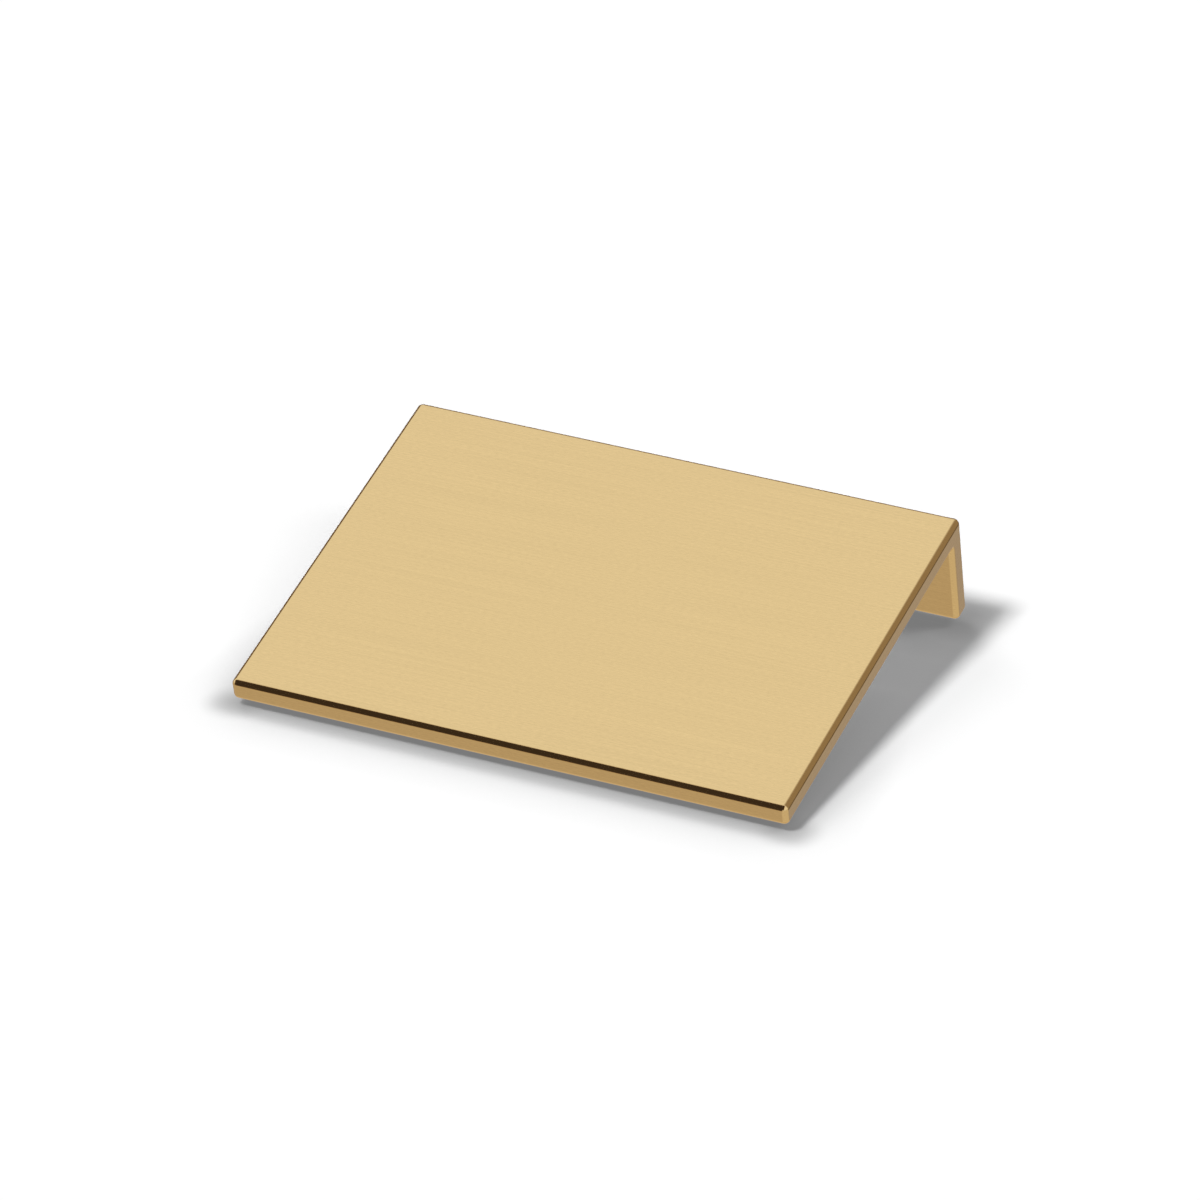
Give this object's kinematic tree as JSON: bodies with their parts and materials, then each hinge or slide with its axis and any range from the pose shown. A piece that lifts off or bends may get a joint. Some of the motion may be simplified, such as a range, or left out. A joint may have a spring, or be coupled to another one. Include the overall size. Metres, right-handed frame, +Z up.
{
  "type": "tab pull",
  "caption": "L-shaped tab pull in brushed gold metal: a flat finger plate lies over a drawer front's top edge, and a short leg behind it has countersunk screw holes.",
  "frame": {"origin": "midway between the two screw holes, on the face of the leg that bears on the back of the drawer front", "axes": "+X along the pull, -Y out to the lip of the tab, +Z up, as fitted on a drawer front"},
  "size_m": [0.05, 0.038, 0.01],
  "materials": {
    "brushed_gold": "brushed along the length, anodised gold"
  },
  "bodies": {
    "root": {"tab_pull": "brushed_gold"}
  },
  "joints": []
}
